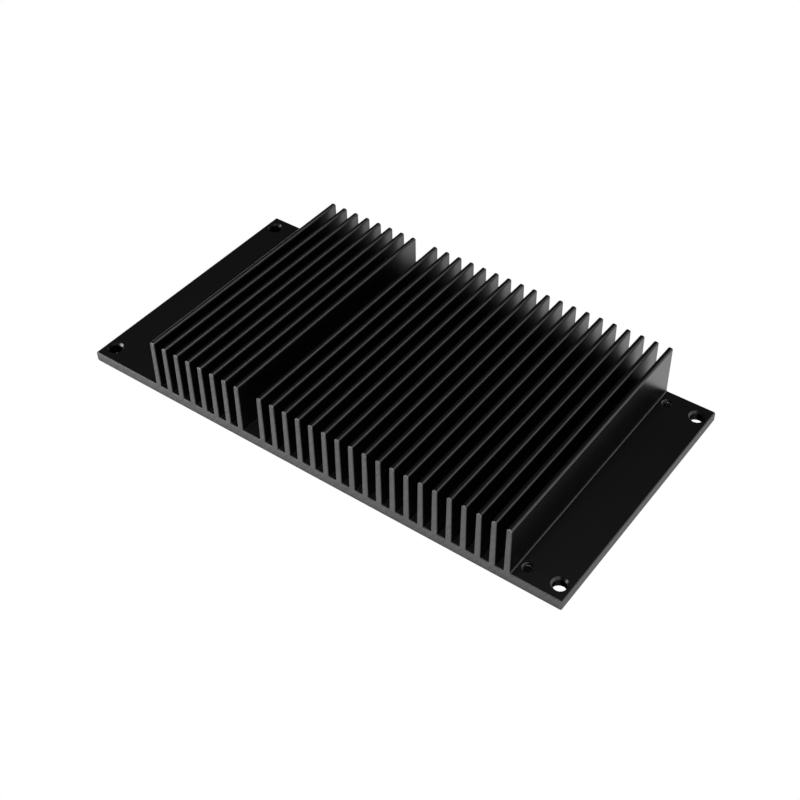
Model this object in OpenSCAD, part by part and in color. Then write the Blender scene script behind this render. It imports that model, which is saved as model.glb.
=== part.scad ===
// Extruded plate fin heat sink: one piece of black anodised aluminium.
// The fins run along Y, stand on +Z and repeat along X. The origin is at the centre of the
// underside of the plate, and every size is in millimetres.

/* [Plate] */
// Width of the bare flange to the left of the fins
left_flange_width = 19; // [8:0.5:40]
// Width of the bare flange to the right of the fins, which carries the tapped holes
right_flange_width = 12; // [9:0.5:40]
// Length that the extrusion is cut to, which is also the length of every fin
cut_length = 64.5; // [20:0.5:200]
// Thickness of the plate
plate_thickness = 2.6; // [1.8:0.1:8]
// Radius along the four long edges of the plate
plate_edge_radius = 0.5; // [0.1:0.05:0.8]

/* [Fins] */
// Height of the fins above the plate
fin_height = 12.4; // [4:0.1:40]
// Thickness of a fin at its root, just above the fillets
fin_root_thickness = 1.45; // [1.3:0.05:2]
// Thickness of a fin at its tip, where the rounding begins
fin_tip_thickness = 1.2; // [1:0.05:1.3]
// Radius that rounds both edges of a tip
fin_tip_radius = 0.45; // [0.1:0.05:0.48]
// Radius of the fillets between a fin and the plate
root_fillet_radius = 0.3; // [0.1:0.05:0.45]
// Distance from the middle of one fin to the middle of the next
fin_pitch = 3.45; // [3:0.05:8]
// Number of fins to the left of the wide channel
left_fin_count = 8; // [1:1:20]
// Number of fins to the right of the wide channel
right_fin_count = 19; // [1:1:30]
// Width of the wide channel between the roots of the fins beside it
wide_channel_width = 4.85; // [1.5:0.05:20]

/* [Screw holes] */
// Distance of both rows of holes from the cut ends of the plate
hole_row_inset = 3.6; // [2.6:0.05:8]
// Diameter of the four clearance holes at the corners
corner_hole_diameter = 2.9; // [1.8:0.1:3.4]
// Distance of the corner holes from the edges of the plate that follow the fins
corner_hole_inset = 2.75; // [2.5:0.05:4]
// Depth of the 45 degree chamfers on both rims of a corner hole
corner_hole_chamfer = 0.45; // [0.1:0.05:0.6]
// Bore of the two tapped holes, before their thread is cut
tapped_hole_diameter = 2.05; // [1.2:0.05:2.5]
// Distance of the tapped holes from the root of the last fin
tapped_hole_offset = 2; // [1.9:0.05:3]
// Depth of the 45 degree chamfers on both rims of a tapped hole
tapped_hole_chamfer = 0.25; // [0.1:0.05:0.35]

/* [Hidden] */
$fn = 64;

// How far one shape reaches into or past another, so that no two faces only touch
overlap = 0.5;

// Centres of the arcs on a fin's right side, measured from the middle of its root. The side runs
// straight from the end of the fillet to the start of the tip's arc, so it leans with the taper.
fillet_centre = [fin_root_thickness / 2 + root_fillet_radius, root_fillet_radius];
tip_centre = [fin_tip_thickness / 2 - fin_tip_radius, fin_height - fin_tip_radius];

// The two groups of fins, with the wide channel between them
wide_step = wide_channel_width + fin_root_thickness;
left_group_span = (left_fin_count - 1) * fin_pitch;
right_group_span = (right_fin_count - 1) * fin_pitch;
fin_field_width = left_group_span + wide_step + right_group_span + fin_root_thickness;

// The plate spans both flanges and the fins, and is centred on X
plate_length = left_flange_width + fin_field_width + right_flange_width;
plate_left = -plate_length / 2;
plate_right = plate_length / 2;
first_fin_x = plate_left + left_flange_width + fin_root_thickness / 2;
second_group_x = first_fin_x + left_group_span + wide_step;
last_fin_root_x = plate_right - right_flange_width;

// The middle of every fin
fin_places = concat(
    [for (i = [0 : left_fin_count - 1]) first_fin_x + i * fin_pitch],
    [for (i = [0 : right_fin_count - 1]) second_group_x + i * fin_pitch]
);

// The rows of holes near the cut ends
hole_row_y = cut_length / 2 - hole_row_inset;
corner_hole_x = plate_right - corner_hole_inset;
tapped_hole_x = last_fin_root_x + tapped_hole_offset;

// Section of the plate, with its long edges rounded
module plate_section() {
    inner = [plate_length - 2 * plate_edge_radius, plate_thickness - 2 * plate_edge_radius];
    translate([plate_left, plate_edge_radius]) square([plate_length, inner[1]]);
    translate([plate_left + plate_edge_radius, 0]) square([inner[0], plate_thickness]);
    for (x = [plate_left + plate_edge_radius, plate_right - plate_edge_radius])
        for (y = [plate_edge_radius, plate_thickness - plate_edge_radius])
            translate([x, y]) circle(r = plate_edge_radius);
}

// Right half of a fin's outline, upwards from inside the plate, with straight chords for its arcs
function half_fin_outline() = [
    [fillet_centre[0], -overlap],
    [fillet_centre[0], 0],
    [fin_root_thickness / 2, fillet_centre[1]],
    [fin_tip_thickness / 2, tip_centre[1]],
    [tip_centre[0], fin_height]
];

// Section of one fin: tapered sides, a filleted root and a rounded tip
module fin_section() {
    right = half_fin_outline();
    left = [for (i = [len(right) - 1 : -1 : 0]) [-right[i][0], right[i][1]]];
    difference() {
        polygon(concat(right, left));
        for (side = [-1, 1])
            translate([side * fillet_centre[0], fillet_centre[1]]) circle(r = root_fillet_radius);
    }
    for (side = [-1, 1])
        translate([side * tip_centre[0], tip_centre[1]]) circle(r = fin_tip_radius);
}

// The whole extrusion, cut to length
module extrusion() {
    rotate([90, 0, 0])
        linear_extrude(height = cut_length, center = true) {
            plate_section();
            for (x = fin_places) translate([x, plate_thickness]) fin_section();
        }
}

// Cutter for a hole right through the plate, chamfered at both rims
module chamfered_hole(diameter, chamfer) {
    radius = diameter / 2;
    translate([0, 0, -overlap]) cylinder(h = plate_thickness + 2 * overlap, r = radius);
    translate([0, 0, plate_thickness - chamfer])
        cylinder(h = chamfer + overlap, r1 = radius, r2 = radius + chamfer + overlap);
    translate([0, 0, -overlap])
        cylinder(h = chamfer + overlap, r1 = radius + chamfer + overlap, r2 = radius);
}

// The extruded, drilled and anodised part
module heat_sink() {
    color("#1b1b1d")
    difference() {
        extrusion();
        for (y = [-hole_row_y, hole_row_y]) {
            for (x = [-corner_hole_x, corner_hole_x])
                translate([x, y, 0]) chamfered_hole(corner_hole_diameter, corner_hole_chamfer);
            translate([tapped_hole_x, y, 0]) chamfered_hole(tapped_hole_diameter, tapped_hole_chamfer);
        }
    }
}

heat_sink();
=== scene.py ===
"""Dresses the plate fin heat sink: eased cut edges, black anodised aluminium, tapped threads,
a pale floor with painted shadow under and around the plate, and soft studio light.

All lengths are in metres. +X runs across the fins, +Y along them, and +Z from the plate to the
fin tips.
"""

import math

import bpy
from mathutils import Matrix, Vector

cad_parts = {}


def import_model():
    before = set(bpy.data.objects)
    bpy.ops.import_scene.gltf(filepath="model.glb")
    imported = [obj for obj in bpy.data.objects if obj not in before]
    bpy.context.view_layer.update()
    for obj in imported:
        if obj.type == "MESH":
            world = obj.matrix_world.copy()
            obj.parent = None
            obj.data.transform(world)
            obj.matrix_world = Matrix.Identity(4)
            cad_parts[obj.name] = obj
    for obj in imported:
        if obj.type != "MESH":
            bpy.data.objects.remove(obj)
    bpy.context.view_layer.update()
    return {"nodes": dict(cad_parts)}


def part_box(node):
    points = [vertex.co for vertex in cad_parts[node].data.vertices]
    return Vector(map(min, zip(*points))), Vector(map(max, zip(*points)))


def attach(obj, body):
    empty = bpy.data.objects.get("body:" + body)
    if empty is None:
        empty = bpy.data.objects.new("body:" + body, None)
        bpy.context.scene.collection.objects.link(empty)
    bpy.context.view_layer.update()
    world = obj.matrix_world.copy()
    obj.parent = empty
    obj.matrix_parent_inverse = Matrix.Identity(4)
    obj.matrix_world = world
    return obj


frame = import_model()

MM = 0.001
SINK_LOW, SINK_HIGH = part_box("heat_sink")

# Camera: degrees, metres, and the lens in millimetres
CAMERA_AZIMUTH = 36.565
CAMERA_ELEVATION = 43.235
CAMERA_ROLL = -0.677
CAMERA_DISTANCE = 0.3050
CAMERA_AIM = Vector((0.002417, -0.00248, 0.0))
CAMERA_LENS = 61.31
CAMERA_SENSOR = 36.0
CAMERA_CLIP = (0.01, 20.0)

# Eased edges of the sawn ends; angles in degrees
EDGE_ANGLE = 30.0
EDGE_WIDTH = 0.20 * MM
EDGE_SEGMENTS = 2
END_MARGIN = 0.01 * MM
WELD_GAP = 0.001 * MM
FLAT_ANGLE = 1.0
NORMAL_WEIGHT = 90

# Tapped holes, M2.5 x 0.45; the wall's radius lies just inside the metal
TAPPED_X = 52.5 * MM
TAPPED_Y = 28.65 * MM
TAPPED_WALL = 1.04 * MM
THREAD_CREST = 0.90 * MM
THREAD_FOOT_HALF = 0.19 * MM
THREAD_CREST_HALF = 0.03 * MM
THREAD_PITCH = 0.45 * MM
THREAD_STEPS = 36
THREAD_END_TURNS = 0.8
THREAD_FADE_STEPS = 9.0
PLATE_TOP = 2.6 * MM

# Black film, the thinner film of the cut faces, and the pale metal of the painted highlights on the
# fin tips and the last root
ANODISED_BASE = (0.0032, 0.0032, 0.0036, 1.0)
CUT_BASE = (0.081, 0.081, 0.083, 1.0)
# Pale metal of the painted highlights
HIGHLIGHT_BASE = (0.31, 0.31, 0.32, 1.0)
THREAD_DARK = (0.02, 0.02, 0.021, 1.0)
THREAD_PALE = (0.05, 0.05, 0.052, 1.0)
FILM_IOR = 1.68

# Depths from the sawn ends over which the cut finish fades
CUT_COLOUR_FADE = (0.03 * MM, 0.14 * MM)
CUT_RELIEF_FADE = (0.005 * MM, 0.04 * MM)
CUT_GLOSS_FADE = (0.16 * MM, 0.24 * MM)

# Noise scales
DIE_LINE_SCALE = (5200.0, 26.0, 5200.0)
GRAIN_SCALE = 5000.0
PORE_SCALE = 3200.0
BLOTCH_SCALE = 90.0
THREAD_WEAR_SCALE = 2500.0
SAW_PITCH = 0.55 * MM
SAW_LENGTHWISE = 60.0
SAW_ANGLE = 52.0
NOISE_ROUGHNESS = 0.55

# What the noises do: the sum of two noises, and the tone, roughness or height that it gives
BODY_NOISE = (0.6, 1.4)
CUT_NOISE = (0.7, 1.3)
CUT_TONE = (0.35, 1.0)
BODY_GLOSS = (0.278, 0.289)
CUT_GLOSS = (0.54, 0.38)
HIGHLIGHT_GLOSS = 0.42
THREAD_GLOSS = (0.20, 0.32)
SAW_RELIEF = 0.030
DIE_RELIEF = 0.0002
GRAIN_RELIEF = 0.0004

# Painted highlights, by the tilt of the surface and where it lies
SHOULDER_RISE = (0.16, 0.38)
SHOULDER_FALL = (0.56, 0.78)
CORNER_RISE = (0.15, 0.35)
CORNER_FALL = (0.75, 0.95)
ROOT_RISE = (0.25, 0.45)
ROOT_FALL = (0.90, 0.98)
TIP_HEIGHT = 14.5 * MM
ROOT_HEIGHT = 2.92 * MM
LAST_ROOT_X = 50.0 * MM
HIGHLIGHT_STRENGTH = 0.78
ROOT_HIGHLIGHT = 0.50
WEAR_AND_HIGHLIGHT_NOISE = (0.3, 0.7)
HIGHLIGHT_SPREAD = (0.8, 1.2)

# Floor
FLOOR_HALF = 3.0
FLOOR_DROP = 0.02 * MM
FLOOR_GREY = (0.80, 0.80, 0.80, 1.0)

# Floor in reflections, a painted contact shadow: the distances from the plate over which it goes
# from a level to white
SIDE_FADE = (0.0, 3.5 * MM)
SIDE_LEVEL = 0.5
FRONT_FADE = (0.0, 1.5 * MM)
FRONT_LEVEL = 0.42
BACK_FADE = (4.5 * MM, 13.5 * MM)
BACK_LEVEL = 0.05
BACK_CORNER = (44.0 * MM, 55.0 * MM)
BACK_CORNER_STRETCH = (1.0, 4.0)

# Floor that the camera sees: how far light reaches in under the edges and below the corner holes
SIDE_LIGHT = 0.3 * MM
END_LIGHT = 1.0 * MM
CORNER_X = 59.75 * MM
CORNER_Y = 28.65 * MM
CORNER_LIGHT_LEFT = 1.25 * MM
CORNER_LIGHT_RIGHT = 1.75 * MM

# World: white at the horizon, and tilted so that it reaches higher on the +X side
SKY_TILT = 0.30
SKY_RAMP = (0.03, 0.22)
SKY_LEVELS = (1.0, 0.02)
WHITE = (1.0, 1.0, 1.0, 1.0)

# Lamps: name, azimuth, elevation, distance, width, height, watts
LAMPS = (
    ("overhead", 40.0, 86.0, 1.2, 0.40, 0.40, 7.8),
    ("front_left", -52.0, 15.0, 0.32, 0.24, 0.16, 0.72),
)

# The Mix node's colour sockets share their names with its number sockets, so they go by index
MIX_COLOUR_A = 6
MIX_COLOUR_B = 7
MIX_COLOUR_RESULT = 2


# ---------------------------------------------------------------- nodes

def feed(tree, value, socket):
    """Link an output to the socket, or set the socket to a plain value."""
    if isinstance(value, bpy.types.NodeSocket):
        tree.links.new(value, socket)
    else:
        socket.default_value = value


def add(tree, kind, inputs=None, **settings):
    """A new node; inputs maps its sockets, by name or index, to outputs or plain values."""
    node = tree.nodes.new(kind)
    for key, value in settings.items():
        setattr(node, key, value)
    for socket, value in (inputs or {}).items():
        feed(tree, value, node.inputs[socket])
    return node


def new_material(name):
    material = bpy.data.materials.new(name)
    material.use_nodes = True
    material.node_tree.nodes.clear()
    return material, material.node_tree


def show(tree, shader):
    """Make the shader the material's surface."""
    add(tree, "ShaderNodeOutputMaterial", {"Surface": shader.outputs[0]})


def split(tree, vector):
    return add(tree, "ShaderNodeSeparateXYZ", {0: vector}).outputs


def maths(tree, operation, first, second=0.0, clamp=False):
    node = add(tree, "ShaderNodeMath", {0: first, 1: second}, operation=operation, use_clamp=clamp)
    return node.outputs[0]


def product(tree, result, *factors):
    for factor in factors:
        result = maths(tree, "MULTIPLY", result, factor)
    return result


def greatest(tree, result, *others):
    for other in others:
        result = maths(tree, "MAXIMUM", result, other)
    return result


def remap(tree, value, source, target, smooth=False):
    """The value taken from one range to another, and held at its ends."""
    inputs = {"Value": value, "From Min": source[0], "From Max": source[1],
              "To Min": target[0], "To Max": target[1]}
    kind = "SMOOTHSTEP" if smooth else "LINEAR"
    node = add(tree, "ShaderNodeMapRange", inputs, clamp=True, interpolation_type=kind)
    return node.outputs["Result"]


def band(tree, value, rise, fall, top=1.0):
    """Top between the ramps rise and fall, and 0 outside them."""
    up = remap(tree, value, rise, (0.0, 1.0), smooth=True)
    down = remap(tree, value, fall, (top, 0.0), smooth=True)
    return product(tree, up, down)


def mix_colour(tree, factor, first, second):
    inputs = {"Factor": factor, MIX_COLOUR_A: first, MIX_COLOUR_B: second}
    return add(tree, "ShaderNodeMix", inputs, data_type="RGBA").outputs[MIX_COLOUR_RESULT]


def mix_number(tree, factor, first, second):
    inputs = {"Factor": factor, "A": first, "B": second}
    return add(tree, "ShaderNodeMix", inputs, data_type="FLOAT").outputs["Result"]


def mapped(tree, vector, scale=(1.0, 1.0, 1.0), turn=0.0):
    """The vector scaled, and turned about Y by so many degrees."""
    inputs = {"Vector": vector, "Scale": scale, "Rotation": (0.0, math.radians(turn), 0.0)}
    return add(tree, "ShaderNodeMapping", inputs).outputs[0]


def noise(tree, vector, scale, detail=2.0):
    inputs = {"Vector": vector, "Scale": scale, "Detail": detail, "Roughness": NOISE_ROUGHNESS}
    return add(tree, "ShaderNodeTexNoise", inputs).outputs["Fac"]


def object_place(tree):
    return add(tree, "ShaderNodeTexCoord").outputs["Object"]


def surface_point(tree):
    return add(tree, "ShaderNodeNewGeometry").outputs["Position"]


# ---------------------------------------------------------------- anodised aluminium

def cut_face_mask(tree, place, fade):
    """1 on the sawn ends and 0 on the extruded faces; fade is two depths from the ends."""
    end = SINK_HIGH[1]
    along = maths(tree, "ABSOLUTE", split(tree, place)["Y"])
    return remap(tree, along, (end - fade[1], end - fade[0]), (0.0, 1.0), smooth=True)


def highlight_mask(tree, place, blotches):
    """Painted highlights: pale metal where light catches the fins, broken up by noise.

    These are the +X shoulders of the fin tips, the corners of the fins, and the last fin's root.
    """
    normal = split(tree, add(tree, "ShaderNodeNewGeometry").outputs["Normal"])
    spot = split(tree, place)
    across = normal["X"]
    along = maths(tree, "ABSOLUTE", normal["Y"])
    at_tips = maths(tree, "GREATER_THAN", spot["Z"], TIP_HEIGHT)
    shoulders = product(tree, band(tree, across, SHOULDER_RISE, SHOULDER_FALL), at_tips)
    corners = product(tree, band(tree, along, CORNER_RISE, CORNER_FALL), at_tips)
    at_roots = maths(tree, "LESS_THAN", spot["Z"], ROOT_HEIGHT)
    on_last = maths(tree, "GREATER_THAN", spot["X"], LAST_ROOT_X)
    steepness = band(tree, across, ROOT_RISE, ROOT_FALL, ROOT_HIGHLIGHT)
    root = product(tree, steepness, at_roots, on_last)
    patchy = remap(tree, blotches, WEAR_AND_HIGHLIGHT_NOISE, HIGHLIGHT_SPREAD)
    return product(tree, greatest(tree, shoulders, corners, root), patchy)


def film_colour(tree, place, cut_noise, highlight):
    """Black film, paler on the cut faces and palest at the painted highlights."""
    cut = cut_face_mask(tree, place, CUT_COLOUR_FADE)
    tone = remap(tree, cut_noise, CUT_NOISE, CUT_TONE)
    shade = mix_colour(tree, product(tree, cut, tone), ANODISED_BASE, CUT_BASE)
    return mix_colour(tree, product(tree, highlight, HIGHLIGHT_STRENGTH), shade, HIGHLIGHT_BASE)


def film_gloss(tree, place, body_noise, cut_noise, highlight):
    """Satin along the extrusion, and rougher on the cut faces and at the painted highlights."""
    body = remap(tree, body_noise, BODY_NOISE, BODY_GLOSS)
    cut = remap(tree, cut_noise, CUT_NOISE, CUT_GLOSS)
    gloss = mix_number(tree, cut_face_mask(tree, place, CUT_GLOSS_FADE), body, cut)
    return mix_number(tree, highlight, gloss, HIGHLIGHT_GLOSS)


def film_relief(tree, place, saw_marks, die_lines):
    """Saw marks on the cut faces, and faint die lines and grain everywhere, as a bumped normal."""
    sawn = cut_face_mask(tree, place, CUT_RELIEF_FADE)
    saw = product(tree, saw_marks, sawn, SAW_RELIEF)
    die = product(tree, die_lines, DIE_RELIEF)
    grain = product(tree, noise(tree, place, GRAIN_SCALE), GRAIN_RELIEF)
    height = maths(tree, "ADD", maths(tree, "ADD", saw, die), grain)
    inputs = {"Strength": 1.0, "Distance": MM, "Height": height}
    return add(tree, "ShaderNodeBump", inputs).outputs["Normal"]


def anodised_aluminium():
    material, tree = new_material("anodised_aluminium")
    place = object_place(tree)
    die_lines = noise(tree, mapped(tree, place, DIE_LINE_SCALE), 1.0)
    blotches = noise(tree, place, BLOTCH_SCALE, detail=3.0)
    saw_place = mapped(tree, place, turn=SAW_ANGLE)
    saw_scale = (SAW_LENGTHWISE, SAW_LENGTHWISE, 1.0 / SAW_PITCH)
    saw_marks = noise(tree, mapped(tree, saw_place, saw_scale), 1.0, detail=3.0)
    body_noise = maths(tree, "ADD", die_lines, blotches)
    cut_noise = maths(tree, "ADD", saw_marks, noise(tree, place, PORE_SCALE))
    # Painted highlights on the +X shoulders and corners of the fin tips and on the last fin's root
    highlight = highlight_mask(tree, place, blotches)

    show(tree, add(tree, "ShaderNodeBsdfPrincipled", {
        "Base Color": film_colour(tree, place, cut_noise, highlight),
        "Metallic": maths(tree, "MULTIPLY", highlight, 1.0, clamp=True),
        "Roughness": film_gloss(tree, place, body_noise, cut_noise, highlight),
        "IOR": FILM_IOR,
        "Normal": film_relief(tree, place, saw_marks, die_lines),
    }))
    return material


def thread_finish():
    """The thread's crests, where the tap has burnished the film."""
    material, tree = new_material("tapped_thread")
    wear = noise(tree, object_place(tree), THREAD_WEAR_SCALE)
    show(tree, add(tree, "ShaderNodeBsdfPrincipled", {
        "Base Color": mix_colour(tree, wear, THREAD_DARK, THREAD_PALE),
        "Roughness": remap(tree, wear, WEAR_AND_HIGHLIGHT_NOISE, THREAD_GLOSS),
        "IOR": FILM_IOR,
    }))
    return material


# ---------------------------------------------------------------- the heat sink

def cut_edge_weights():
    """A node group that marks sharp edges, and gives those of the sawn ends a bevel weight of 1."""
    tree = bpy.data.node_groups.new("cut_edge_weights", "GeometryNodeTree")
    for way in ("INPUT", "OUTPUT"):
        tree.interface.new_socket("Geometry", in_out=way, socket_type="NodeSocketGeometry")
    spot = split(tree, add(tree, "GeometryNodeInputPosition").outputs[0])
    along = maths(tree, "ABSOLUTE", spot["Y"])
    at_end = maths(tree, "GREATER_THAN", along, SINK_HIGH[1] - END_MARGIN)
    fold = add(tree, "GeometryNodeInputMeshEdgeAngle").outputs[0]
    sharp = maths(tree, "GREATER_THAN", fold, math.radians(EDGE_ANGLE))
    geometry = add(tree, "NodeGroupInput").outputs[0]
    values = (("bevel_weight_edge", "FLOAT", product(tree, at_end, sharp)),
              ("sharp_edge", "BOOLEAN", maths(tree, "GREATER_THAN", sharp, at_end)))
    for name, kind, value in values:
        inputs = {"Name": name, "Geometry": geometry, "Value": value}
        store = add(tree, "GeometryNodeStoreNamedAttribute", inputs, data_type=kind, domain="EDGE")
        geometry = store.outputs["Geometry"]
    add(tree, "NodeGroupOutput", {0: geometry})
    return tree


def eased_edges(node):
    """A narrow bevel round the outline of both sawn ends."""
    weld = node.modifiers.new("joined_faces", "WELD")
    weld.merge_threshold = WELD_GAP
    flat = node.modifiers.new("flat_faces", "DECIMATE")
    flat.decimate_type = "DISSOLVE"
    flat.angle_limit = math.radians(FLAT_ANGLE)
    weights = node.modifiers.new("cut_edges", "NODES")
    weights.node_group = cut_edge_weights()
    bevel = node.modifiers.new("eased_edges", "BEVEL")
    bevel.limit_method = "WEIGHT"
    bevel.width = EDGE_WIDTH
    bevel.segments = EDGE_SEGMENTS
    bevel.use_clamp_overlap = False
    normals = node.modifiers.new("face_normals", "WEIGHTED_NORMAL")
    normals.mode = "FACE_AREA"
    normals.weight = NORMAL_WEIGHT
    normals.keep_sharp = True


def thread_ridge(x, y):
    """Vertices and faces of a closed helical ridge that fades into the wall at both ends."""
    turns = PLATE_TOP / THREAD_PITCH - 2.0 * THREAD_END_TURNS
    steps = int(turns * THREAD_STEPS)
    verts = []
    for i in range(steps + 1):
        angle = 2.0 * math.pi * i / THREAD_STEPS
        z = THREAD_PITCH * (THREAD_END_TURNS + i / THREAD_STEPS)
        fade = min(1.0, (i + 1) / THREAD_FADE_STEPS, (steps - i + 1) / THREAD_FADE_STEPS)
        crest = TAPPED_WALL - (TAPPED_WALL - THREAD_CREST) * fade
        section = ((TAPPED_WALL, -THREAD_FOOT_HALF), (crest, -THREAD_CREST_HALF),
                   (crest, THREAD_CREST_HALF), (TAPPED_WALL, THREAD_FOOT_HALF))
        for radius, lift in section:
            verts.append((x + radius * math.cos(angle), y + radius * math.sin(angle), z + lift))
    corners = len(section)
    faces = []
    for i in range(steps):
        near = corners * i
        far = near + corners
        for j in range(corners):
            k = (j + 1) % corners
            faces.append((near + j, near + k, far + k, far + j))
    faces.append(tuple(reversed(range(corners))))
    faces.append(tuple(range(corners * steps, corners * steps + corners)))
    return verts, faces


def tapped_thread(name, x, y, material):
    mesh = bpy.data.meshes.new(name)
    verts, faces = thread_ridge(x, y)
    mesh.from_pydata(verts, [], faces)
    mesh.polygons.foreach_set("use_smooth", [True] * len(faces))
    mesh.materials.append(material)
    mesh.update()
    thread = bpy.data.objects.new(name, mesh)
    bpy.context.scene.collection.objects.link(thread)
    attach(thread, "root")


def dress_heat_sink():
    node = frame["nodes"]["heat_sink"]
    material = anodised_aluminium()
    for slot in node.material_slots:
        slot.material = material
    eased_edges(node)
    finish = thread_finish()
    tapped_thread("front_thread", TAPPED_X, -TAPPED_Y, finish)
    tapped_thread("back_thread", TAPPED_X, TAPPED_Y, finish)


# ---------------------------------------------------------------- camera and studio

def direction(azimuth, elevation):
    """Unit vector from the aim towards a camera or a lamp; azimuth 0 is the front, -Y."""
    a = math.radians(azimuth)
    e = math.radians(elevation)
    return Vector((math.sin(a) * math.cos(e), -math.cos(a) * math.cos(e), math.sin(e)))


def camera():
    back = direction(CAMERA_AZIMUTH, CAMERA_ELEVATION)
    right = Vector((0.0, 0.0, 1.0)).cross(back).normalized()
    up = back.cross(right)
    roll = math.radians(CAMERA_ROLL)
    x_axis = right * math.cos(roll) + up * math.sin(roll)
    y_axis = up * math.cos(roll) - right * math.sin(roll)
    data = bpy.data.cameras.new("camera")
    data.lens = CAMERA_LENS
    data.sensor_width = CAMERA_SENSOR
    data.clip_start, data.clip_end = CAMERA_CLIP
    lens = bpy.data.objects.new("camera", data)
    place = Matrix((x_axis, y_axis, back)).transposed().to_4x4()
    place.translation = CAMERA_AIM + back * CAMERA_DISTANCE
    lens.matrix_world = place
    bpy.context.scene.collection.objects.link(lens)
    bpy.context.scene.camera = lens


def clear_floor(tree, distance, fade, level):
    """0 under the plate, level where the fade starts and 1 past its end."""
    share = remap(tree, distance, fade, (level, 1.0), smooth=True)
    return product(tree, share, maths(tree, "GREATER_THAN", distance, 0.0))


def mirrored_floor(tree):
    """How white the floor is in reflections: none under the plate, less in its contact shadow."""
    spot = split(tree, surface_point(tree))
    across = maths(tree, "ABSOLUTE", spot["X"])
    beside = maths(tree, "SUBTRACT", across, SINK_HIGH[0])
    before = maths(tree, "SUBTRACT", SINK_LOW[1], spot["Y"])
    behind = maths(tree, "SUBTRACT", spot["Y"], SINK_HIGH[1])
    stretch = remap(tree, across, BACK_CORNER, BACK_CORNER_STRETCH, smooth=True)
    return greatest(tree,
                    clear_floor(tree, beside, SIDE_FADE, SIDE_LEVEL),
                    clear_floor(tree, before, FRONT_FADE, FRONT_LEVEL),
                    clear_floor(tree, product(tree, behind, stretch), BACK_FADE, BACK_LEVEL))


def below_hole(tree, point, x, y, radius):
    """1 on the floor within the radius of a hole's axis."""
    inputs = {0: point, 1: (x, y, 0.0)}
    off_axis = add(tree, "ShaderNodeVectorMath", inputs, operation="DISTANCE").outputs["Value"]
    return maths(tree, "LESS_THAN", off_axis, radius)


def seen_floor(tree):
    """1 beside the plate and where light falls through its holes, and 0 in its own shadow.

    The light leans from +X, so it spreads further under the holes there.
    """
    point = surface_point(tree)
    folded = add(tree, "ShaderNodeVectorMath", {0: point}, operation="ABSOLUTE").outputs[0]
    spot = split(tree, folded)
    spread = remap(tree, split(tree, point)["X"], (-CORNER_X, CORNER_X),
                   (CORNER_LIGHT_LEFT, CORNER_LIGHT_RIGHT))
    return greatest(tree,
                    maths(tree, "GREATER_THAN", spot["X"], SINK_HIGH[0] - SIDE_LIGHT),
                    maths(tree, "GREATER_THAN", spot["Y"], SINK_HIGH[1] - END_LIGHT),
                    below_hole(tree, folded, CORNER_X, CORNER_Y, spread),
                    below_hole(tree, folded, TAPPED_X, TAPPED_Y, THREAD_CREST))


def floor_finish():
    """White to the camera and in reflections, with painted shadow under and near the plate, and
    plain pale paper to all other light.
    """
    material, tree = new_material("floor")
    paths = add(tree, "ShaderNodeLightPath").outputs
    shown = greatest(tree, paths["Is Camera Ray"], paths["Is Glossy Ray"],
                     paths["Is Transmission Ray"])
    seen = product(tree, paths["Is Camera Ray"], seen_floor(tree))
    level = greatest(tree, seen, mirrored_floor(tree))
    paper = add(tree, "ShaderNodeBsdfDiffuse", {"Color": FLOOR_GREY})
    white = add(tree, "ShaderNodeEmission", {"Strength": level})
    inputs = {0: shown, 1: paper.outputs[0], 2: white.outputs[0]}
    show(tree, add(tree, "ShaderNodeMixShader", inputs))
    return material


def floor():
    mesh = bpy.data.meshes.new("floor")
    half = FLOOR_HALF
    corners = [(-half, -half, 0.0), (half, -half, 0.0), (half, half, 0.0), (-half, half, 0.0)]
    mesh.from_pydata(corners, [], [(0, 1, 2, 3)])
    mesh.materials.append(floor_finish())
    ground = bpy.data.objects.new("floor", mesh)
    ground.location.z = -FLOOR_DROP
    bpy.context.scene.collection.objects.link(ground)


def world():
    """White at the horizon and dim overhead, and plain white to the camera."""
    sky = bpy.data.worlds.new("studio")
    sky.use_nodes = True
    tree = sky.node_tree
    tree.nodes.clear()
    ray = split(tree, add(tree, "ShaderNodeTexCoord").outputs["Generated"])
    height = maths(tree, "SUBTRACT", ray["Z"], product(tree, ray["X"], SKY_TILT))
    level = remap(tree, height, SKY_RAMP, SKY_LEVELS, smooth=True)
    seen = add(tree, "ShaderNodeLightPath").outputs["Is Camera Ray"]
    inputs = {"Color": WHITE, "Strength": greatest(tree, level, seen)}
    background = add(tree, "ShaderNodeBackground", inputs)
    add(tree, "ShaderNodeOutputWorld", {"Surface": background.outputs[0]})
    bpy.context.scene.world = sky


def area_light(name, azimuth, elevation, distance, width, height, power):
    data = bpy.data.lights.new(name, "AREA")
    data.shape = "RECTANGLE"
    data.size = width
    data.size_y = height
    data.energy = power
    lamp = bpy.data.objects.new(name, data)
    back = direction(azimuth, elevation)
    lamp.location = back * distance
    lamp.rotation_euler = back.to_track_quat("Z", "Y").to_euler()
    bpy.context.scene.collection.objects.link(lamp)


# ---------------------------------------------------------------- scene

bpy.context.scene.view_settings.view_transform = "Standard"

camera()
dress_heat_sink()
world()
floor()
for lamp_settings in LAMPS:
    area_light(*lamp_settings)
